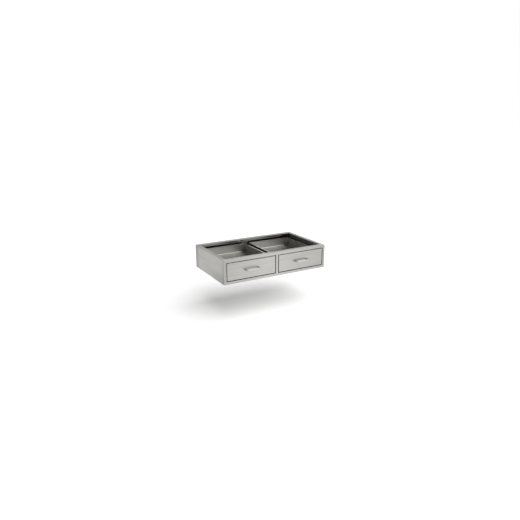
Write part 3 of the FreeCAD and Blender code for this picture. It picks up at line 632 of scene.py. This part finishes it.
def mill_sheet(name, grain, tones=MILL_TONES, roughness=HIDDEN_ROUGH, slope=HIDDEN, rim=None):
    """Cold rolled and pickled sheet: low contrast, with lines along the rolling direction."""
    material, tree, shader = new_material(name)
    line = noise(tree, along_axis(grain, *MILL_LINE), detail=2.0)
    cloud = noise(tree, along_axis(grain, *MILL_CLOUD), detail=4.0)
    pale, deep = tones
    broad = add(tree, "MapRange", span(cloud, 0, CLOUD_SHARE)).outputs["Result"]
    fine = add(tree, "MapRange", span(line, 0, LINE_SHARE)).outputs["Result"]
    tone = add(tree, "Math", {0: broad, 1: fine}).outputs[0]
    choice = {"Factor": tone, COLOUR_A: linear(deep), COLOUR_B: linear(pale)}
    colour = add(tree, "Mix", choice, data_type="RGBA").outputs[COLOUR_MIX]
    # Painted highlight: the rim's top few millimetres are paler.
    if rim:
        where = add(tree, "TexCoord").outputs["Object"]
        height = add(tree, "SeparateXYZ", {"Vector": where}).outputs["Z"]
        on_rim = add(tree, "MapRange", span(height, 0, 1, *rim)).outputs["Result"]
        choice = {"Factor": on_rim, COLOUR_A: colour, COLOUR_B: linear(RIM_TONE)}
        colour = add(tree, "Mix", choice, data_type="RGBA").outputs[COLOUR_MIX]
    relief = add(tree, "Bump", {"Height": line, "Distance": LINE_DEPTH, "Strength": 1.0})
    clouded = span(cloud, roughness - LINE_SWING, roughness + LINE_SWING)
    finish = {
        "Base Color": crevices(tree, polished_edges(tree, colour), slope, 2 * CREVICE),
        "Metallic": 1.0,
        "Roughness": add(tree, "MapRange", clouded).outputs["Result"],
        "Normal": relief.outputs[0],
    }
    fill(tree, shader, finish)
    return material


hidden_finishes = {grain: mill_sheet(f"mill_sheet_{grain}", grain) for grain in "xy"}
plate_finish = mill_sheet("plate_sheet", "z", CLEAN_TONES, CLEAN_ROUGH, SOFT)
tray_finish = mill_sheet("tray_sheet", "x", CLEAN_TONES, CLEAN_ROUGH, SOFT, RIM)
print("the rims' tops stand at z =", round(RIM_TOP, 4))

# %% [markdown]
# ## Pull wire
# Each pull is a length of 8 mm stainless wire, bent twice and polished to satin in a lathe, so its
# marks run round the wire. Real ones are a twentieth of a millimetre wide and are drawn coarser here.
# The wire mirrors more sharply than the sheet: a dark line of ceiling lies on top of it, and a bright
# line of floor below. Its underside is painted darker, as painted shade.

# %% Satin wire
WIRE_TONES = ("#D0CFCC", "#B8B7B4")
MARK_WIDTH = 0.8 * MM
MARK_LENGTH = 30 * MM
MARK_DEPTH = 0.004 * MM
WIRE_CREVICE = 12 * MM
WIRE_ROUGH = (0.16, 0.24)
UNDER_LEVEL = 0.45
UNDER_START = -0.85
UNDER_END = -0.25

satin_wire, tree, shader = new_material("satin_pull_wire")
ring = noise(tree, along_axis("x", MARK_WIDTH, MARK_LENGTH), detail=2.0)
pale, deep = WIRE_TONES
choice = {"Factor": ring, COLOUR_A: linear(deep), COLOUR_B: linear(pale)}
colour = add(tree, "Mix", choice, data_type="RGBA").outputs[COLOUR_MIX]
# Painted shade: the wire is darker where its normal points down.
normal = add(tree, "NewGeometry").outputs["Normal"]
upward = add(tree, "SeparateXYZ", {"Vector": normal}).outputs["Z"]
grip = add(tree, "MapRange", span(upward, UNDER_LEVEL, 1.0, UNDER_START, UNDER_END))
dulled = {0: colour, "Scale": grip.outputs["Result"]}
colour = add(tree, "VectorMath", dulled, operation="SCALE").outputs["Vector"]
relief = add(tree, "Bump", {"Height": ring, "Distance": MARK_DEPTH, "Strength": 1.0})
finish = {
    "Base Color": crevices(tree, colour, SOFT, WIRE_CREVICE),
    "Metallic": 1.0,
    "Roughness": add(tree, "MapRange", span(ring, *WIRE_ROUGH)).outputs["Result"],
    "Normal": relief.outputs[0],
}
fill(tree, shader, finish)
print("made", satin_wire.name)

# %% [markdown]
# ## Zinc plate
# The ball slides and the screws are mild steel with bright zinc on it. Zinc is a little blue, its
# passivated skin shows faint yellow and violet patches, and drawn channels carry long fine lines,
# drawn here about ten times as wide as they are.

# %% Zinc plate
ZINC_TONES = [(0.34, "#B9BCC4"), (0.5, "#C6C9CC"), (0.66, "#CDCCC3")]
DRAWN_LINE = (120 * MM, 0.9 * MM)
DRAWN_DEPTH = 0.008 * MM
SMOOTHER = 0.05
ROUGHER = 0.06


def zinc_plate(name, grain, patch, roughness):
    """Bright zinc with its passivated skin, drawn lines along the grain, and patches of that size."""
    material, tree, shader = new_material(name)
    line = noise(tree, along_axis(grain, *DRAWN_LINE), detail=2.0)
    skin = noise(tree, along_axis(grain, patch, patch), detail=4.0)
    ramp = add(tree, "ValToRGB", {"Fac": skin})
    stops = ramp.color_ramp.elements
    first, middle, last = ZINC_TONES
    for stop, (position, tone) in zip(stops, (first, last)):
        stop.position = position
        stop.color = linear(tone)
    stops.new(middle[0]).color = linear(middle[1])
    relief = add(tree, "Bump", {"Height": line, "Distance": DRAWN_DEPTH, "Strength": 1.0})
    lines = span(line, roughness - SMOOTHER, roughness + ROUGHER)
    finish = {
        "Base Color": crevices(tree, ramp.outputs["Color"], HIDDEN, 2 * CREVICE),
        "Metallic": 1.0,
        "Roughness": add(tree, "MapRange", lines).outputs["Result"],
        "Normal": relief.outputs[0],
    }
    fill(tree, shader, finish)
    return material


slide_finish = zinc_plate("zinc_slide_steel", "y", patch=26 * MM, roughness=0.27)
screw_finish = zinc_plate("zinc_screw_steel", "z", patch=4 * MM, roughness=0.3)
print("made", slide_finish.name, "and", screw_finish.name)

# %% [markdown]
# ## Hard balls
# Bearing balls are ground and lapped chrome steel, the brightest things in the unit. A thin film of
# grease makes them a little uneven.

# %% Lapped balls
BALL_TONES = ("#D8D8D6", "#BFBFBE")
FILM = 1.5 * MM
BALL_ROUGH = (0.05, 0.16)

ball_finish, tree, shader = new_material("lapped_chrome_steel")
film = noise(tree, along_axis("x", FILM, FILM), detail=2.0)
pale, deep = BALL_TONES
choice = {"Factor": film, COLOUR_A: linear(deep), COLOUR_B: linear(pale)}
finish = {
    "Base Color": add(tree, "Mix", choice, data_type="RGBA").outputs[COLOUR_MIX],
    "Metallic": 1.0,
    "Roughness": add(tree, "MapRange", span(film, *BALL_ROUGH)).outputs["Result"],
}
fill(tree, shader, finish)
print("made", ball_finish.name)

# %% [markdown]
# ## Felted fibre
# A pad of pressed fibre fills each front and takes the ring out of the sheet. It is dark, matt, and
# made of short threads that lie every way, so two stretched noises cross each other in it, and the
# higher one of them wins. Real threads are far finer than those drawn here.

# %% Pressed fibre
THREAD = (14 * MM, 0.8 * MM)
THREAD_HEIGHT = 0.4 * MM
THREAD_TOPS = (0.45, 0.65)
FIBRE_TONES = ("#6B675F", "#3E3C38")
FIBRE_ROUGH = 0.95
FIBRE_SPECULAR = 0.2

fibre_finish, tree, shader = new_material("pressed_fibre")
across, upright = [noise(tree, along_axis(axis, *THREAD)) for axis in "xz"]
threads = add(tree, "Math", {0: across, 1: upright}, operation="MAXIMUM").outputs[0]
on_top = add(tree, "MapRange", span(threads, 0, 1, *THREAD_TOPS)).outputs["Result"]
pale, deep = FIBRE_TONES
choice = {"Factor": on_top, COLOUR_A: linear(deep), COLOUR_B: linear(pale)}
relief = add(tree, "Bump", {"Height": threads, "Distance": THREAD_HEIGHT, "Strength": 1.0})
finish = {
    "Base Color": add(tree, "Mix", choice, data_type="RGBA").outputs[COLOUR_MIX],
    "Roughness": FIBRE_ROUGH,
    "Normal": relief.outputs[0],
    "Specular IOR Level": FIBRE_SPECULAR,
}
fill(tree, shader, finish)
print("made", fibre_finish.name)

# %% [markdown]
# ## Rubber
# The bumpers are moulded black rubber, matt, with the fine pale bloom that wax leaves as it comes to
# the surface. Rubber's usual IOR is 1.52.

# %% Black rubber
BLOOM = 1.2 * MM
BLOOM_HEIGHT = 0.05 * MM
RUBBER_TONES = ("#3A3A3A", "#1B1B1C")
RUBBER_ROUGH = (0.55, 0.75)
RUBBER_IOR = 1.52

rubber_finish, tree, shader = new_material("black_rubber")
bloom = noise(tree, along_axis("x", BLOOM, BLOOM), detail=5.0)
pale, deep = RUBBER_TONES
choice = {"Factor": bloom, COLOUR_A: linear(deep), COLOUR_B: linear(pale)}
relief = add(tree, "Bump", {"Height": bloom, "Distance": BLOOM_HEIGHT, "Strength": 1.0})
finish = {
    "Base Color": add(tree, "Mix", choice, data_type="RGBA").outputs[COLOUR_MIX],
    "Roughness": add(tree, "MapRange", span(bloom, *RUBBER_ROUGH)).outputs["Result"],
    "Normal": relief.outputs[0],
    "IOR": RUBBER_IOR,
}
fill(tree, shader, finish)
print("made", rubber_finish.name)

# %% [markdown]
# ## Finishes on the CAD parts
# The CAD parts are named for what they are, so a finish can be chosen from the name. The grain runs
# along the longer side of a sheet, because the blanks are cut from a coil that way.

# %% Dressing the CAD parts
BY_ENDING = {
    "_side_panel": case_finishes["side"],
    "back_panel": case_finishes["back"],
    "front_top_rail": case_finishes["rail"],
    "front_bottom_rail": case_finishes["rail"],
    "centre_stile": case_finishes["stile"],
    "_drawer_front": case_finishes["front"],
    "_inner_front": hidden_finishes["x"],
    "bottom_panel": hidden_finishes["x"],
    "centre_divider": hidden_finishes["y"],
    "rear_centre_plate": plate_finish,
    "_slide_bracket": hidden_finishes["y"],
    "_drawer_tray": tray_finish,
    "_drawer_pull": satin_wire,
    "_member": slide_finish,
    "_ball_cage": slide_finish,
    "_slide_balls": ball_finish,
    "_screws": screw_finish,
    "_sound_pad": fibre_finish,
    "_bumpers": rubber_finish,
}


def finish_for(name):
    """The finish of the first ending in the list that the part's name has."""
    return next(finish for ending, finish in BY_ENDING.items() if name.endswith(ending))


for name, node in frame["nodes"].items():
    node.data.materials.clear()
    node.data.materials.append(finish_for(name))
print("dressed", len(frame["nodes"]), "CAD parts")

# %% [markdown]
# ## Reading the small parts' places
# The CAD gives screws and bumpers as plain cylinders, several to a part. What stands for them here has
# to sit exactly where they do, so their places are read from the CAD part. Walking from corner to
# corner along the edges separates one solid from the next, and the box of each tells where it is.

# %% Separate solids
SAME_SPOT = 0.001 * MM


def solids(node):
    """The corners of each separate solid of a CAD part, in a fixed order."""
    work = bmesh.new()
    work.from_mesh(node.data)
    bmesh.ops.remove_doubles(work, verts=work.verts, dist=SAME_SPOT)
    waiting = set(work.verts)
    found = []
    while waiting:
        reached, to_visit = [], [waiting.pop()]
        while to_visit:
            corner = to_visit.pop()
            reached.append(corner.co.copy())
            for edge in corner.link_edges:
                other = edge.other_vert(corner)
                if other in waiting:
                    waiting.discard(other)
                    to_visit.append(other)
        found.append(reached)
    work.free()
    return sorted(found, key=lambda points: [round(min(p[k] for p in points), 5) for k in range(3)])


def long_axis(points):
    """A turned solid's axis, whose two neighbours have equal spans, and the middle of its box."""
    low = [min(p[k] for p in points) for k in range(3)]
    high = [max(p[k] for p in points) for k in range(3)]
    size = [b - a for a, b in zip(low, high)]
    axis = min(range(3), key=lambda k: abs(size[k - 1] - size[k - 2]))
    middle = Vector([(a + b) / 2 for a, b in zip(low, high)])
    return axis, middle


for name in ("case_slide_screws", "left_drawer_bumpers"):
    print(name, "has", len(solids(frame["nodes"][name])), "solids")

# %% [markdown]
# ## Turned shapes
# Screws and buttons are round, so each is drawn as half a profile and spun round its axis, as on a
# lathe. The profile is a list of radius and height. A point on the axis has radius nought, where the
# spin leaves many corners on one spot; they are merged.

# %% Lathe
FULL_TURN = 2 * math.pi


def turned(profile, steps):
    """A closed shape spun from a profile of (radius, height), about the Z axis."""
    work = bmesh.new()
    corners = [work.verts.new((radius, 0, height)) for radius, height in profile]
    edges = [work.edges.new(pair) for pair in zip(corners, corners[1:])]
    bmesh.ops.spin(
        work, geom=corners + edges, cent=(0, 0, 0), axis=(0, 0, 1), angle=FULL_TURN, steps=steps
    )
    bmesh.ops.remove_doubles(work, verts=work.verts, dist=SAME_SPOT)
    bmesh.ops.recalc_face_normals(work, faces=work.faces)
    mesh = bpy.data.meshes.new("turned")
    work.to_mesh(mesh)
    work.free()
    return mesh


def dome(rim, base, top, steps):
    """Profile points of an elliptic crown, from its rim to its top on the axis."""
    quarter = [math.pi / 2 * k / steps for k in range(steps + 1)]
    points = [(rim * math.cos(a), base + (top - base) * math.sin(a)) for a in quarter]
    return points[:-1] + [(0.0, top)]


print("crown of a unit head:", [(round(r, 2), round(h, 2)) for r, h in dome(1, 0.4, 1, 4)])

# %% [markdown]
# ## Cross-head screws
# They are M4 pan-head machine screws, and a driver's cross is pressed into each head. Its shape is a
# plug that narrows like the driver's tip, and a Boolean takes it out of the head.

# %% Cross recess
SLOT_HALF = 0.13
SLOT_REACH = 0.52
SLOT_FLOOR = 0.38
TIP_SCALE = 0.45
PLUG_TOP = 1.2
PLUG_TOP_SCALE = 1.1


def cross_plug():
    """The plug that leaves a cross recess: a plus sign drawn down to a smaller plus sign."""
    arm = [(SLOT_REACH, -SLOT_HALF), (SLOT_REACH, SLOT_HALF), (SLOT_HALF, SLOT_HALF)]
    outline = []
    for quarter in range(4):
        turn = Matrix.Rotation(quarter * math.pi / 2, 2)
        outline += [turn @ Vector(point) for point in arm]
    count = len(outline)
    corners = []
    for height, scale in ((SLOT_FLOOR, TIP_SCALE), (PLUG_TOP, PLUG_TOP_SCALE)):
        corners += [(x * scale, y * scale, height) for x, y in outline]
    sides = [(k, (k + 1) % count, count + (k + 1) % count, count + k) for k in range(count)]
    ends = [tuple(reversed(range(count))), tuple(range(count, 2 * count))]
    mesh = bpy.data.meshes.new("cross_plug")
    mesh.from_pydata(corners, [], sides + ends)
    return mesh


def cut(mesh, tool):
    """The mesh with the tool taken out of it."""
    body, knife = (bpy.data.objects.new(m.name, m) for m in (mesh, tool))
    for thing in (body, knife):
        bpy.context.scene.collection.objects.link(thing)
    boolean = body.modifiers.new("recess", "BOOLEAN")
    boolean.operation = "DIFFERENCE"
    boolean.solver = "EXACT"
    boolean.object = knife
    evaluated = body.evaluated_get(bpy.context.evaluated_depsgraph_get())
    result = bpy.data.meshes.new_from_object(evaluated)
    for thing in (body, knife):
        bpy.data.objects.remove(thing)
    return result


print("the recess ends", SLOT_FLOOR, "of the head's height above its seat")

# %% [markdown]
# The head is turned on the lathe once, at unit size: a narrow foot, a low straight side and a crown.
# Each screw then gets this head, stretched to its own radius and height.

# %% Unit head
HEAD_STEPS = 28
CROWN_STEPS = 7
HEAD_FOOT = 0.94
HEAD_CHAMFER = 0.08
HEAD_SIDE = 0.42

flank = [(0, 0), (HEAD_FOOT, 0), (1, HEAD_CHAMFER)]
unit_head = cut(turned(flank + dome(1, HEAD_SIDE, 1, CROWN_STEPS), HEAD_STEPS), cross_plug())
print("unit head:", len(unit_head.polygons), "faces")

# %% [markdown]
# A shank is spun too, with rings at the M4 pitch of 0.7 mm, which look the same as a helix at this
# size. Many small meshes are then joined into one piece, as identical screws make one CAD part.

# %% Shank and joining
SHANK_RADIUS = 2 * MM
PITCH = 0.7 * MM
THREAD_DEPTH = 0.3 * MM
SHANK_STEPS = 16
SMOOTH_UP_TO = math.radians(35)


def shank(length):
    """A threaded shank from the origin down the Z axis, with a flat end."""
    root = SHANK_RADIUS - THREAD_DEPTH
    profile = [(0, 0), (SHANK_RADIUS, 0)]
    for k in range(int(length / PITCH)):
        profile.append((root, -(k + 0.5) * PITCH))
        profile.append((SHANK_RADIUS, -(k + 1) * PITCH))
    return turned(profile + [(root, -length), (0, -length)], SHANK_STEPS)


def join(name, meshes_and_places, finish):
    """One object from several meshes, each put at its place, with one finish and smooth crowns."""
    work = bmesh.new()
    for mesh, place in meshes_and_places:
        copy = mesh.copy()
        copy.transform(place)
        work.from_mesh(copy)
        bpy.data.meshes.remove(copy)
    whole = bpy.data.meshes.new(name)
    work.to_mesh(whole)
    work.free()
    whole.materials.append(finish)
    whole.shade_smooth()
    whole.set_sharp_from_angle(angle=SMOOTH_UP_TO)
    piece = bpy.data.objects.new(name, whole)
    bpy.context.scene.collection.objects.link(piece)
    return piece


print("a shank of 6 mm has", len(shank(6 * MM).polygons), "faces")

# %% [markdown]
# The head bears where its underside is. That is read from the corners of the CAD screw that lie
# further from its axis than the shank does.

# %% Screws in place
HEAD_MARGIN = 0.1 * MM


def from_axis(point, middle, axis):
    """The larger of a point's two distances from the middle, across the axis."""
    return max(abs(point[k] - middle[k]) for k in range(3) if k != axis)


def screw_parts(points):
    """The head and the shank of one screw, each with the matrix that puts it in place."""
    axis, middle = long_axis(points)
    head = [p for p in points if from_axis(p, middle, axis) > SHANK_RADIUS + HEAD_MARGIN]
    low, high = min(p[axis] for p in head), max(p[axis] for p in head)
    start, end = min(p[axis] for p in points), max(p[axis] for p in points)
    upward = abs(high - end) < abs(low - start)
    seat, tip = (low, start) if upward else (high, end)
    radius = max(p[axis - 1] for p in points) - middle[axis - 1]
    way = Vector([0, 0, 0])
    way[axis] = 1 if upward else -1
    place = middle.copy()
    place[axis] = seat
    stand = Matrix.Translation(place) @ way.to_track_quat("Z", "Y").to_matrix().to_4x4()
    stretch = Matrix.Diagonal((radius, radius, high - low, 1))
    return [(unit_head, stand @ stretch), (shank(abs(seat - tip)), stand)]


screw_nodes = [name for name in sorted(frame["nodes"]) if name.endswith("_screws")]
for name in screw_nodes:
    node = frame["nodes"][name]
    parts = [part for points in solids(node) for part in screw_parts(points)]
    piece = join(name.replace("screws", "cross_head_screws"), parts, screw_finish)
    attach(piece, node["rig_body"])
    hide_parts(name)

# %% [markdown]
# ## Bumper buttons
# The buttons that stop a closing drawer are moulded domes with a thin rim, stuck to the stop lip. The
# CAD has them as flat discs of the same size, which the domes fill.

# %% Bumpers
BUTTON_RIM = 0.25
BUTTON_SIDE = 0.15
BUTTON_LEDGE = 0.9
BUTTON_CROWN = 0.86
BUTTON_STEPS = 32
BUTTON_CROWN_STEPS = 8

FORWARD = Vector((0, -1, 0)).to_track_quat("Z", "Y").to_matrix().to_4x4()


def button(points):
    """A dome of the size of one CAD disc, with the matrix that puts it in the disc's place."""
    axis, middle = long_axis(points)
    low, high = min(p[axis] for p in points), max(p[axis] for p in points)
    radius = max(p.x for p in points) - middle.x
    base = middle.copy()
    base[axis] = high
    profile = [(0, 0), (1, 0), (1, BUTTON_SIDE), (BUTTON_LEDGE, BUTTON_RIM)]
    profile += dome(BUTTON_CROWN, BUTTON_RIM, 1, BUTTON_CROWN_STEPS)
    stand = Matrix.Translation(base) @ FORWARD
    return turned(profile, BUTTON_STEPS), stand @ Matrix.Diagonal((radius, radius, high - low, 1))


for side in ("left", "right"):
    name = f"{side}_drawer_bumpers"
    node = frame["nodes"][name]
    parts = [button(points) for points in solids(node)]
    piece = join(f"{side}_drawer_bumper_domes", parts, rubber_finish)
    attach(piece, node["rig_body"])
    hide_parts(name)
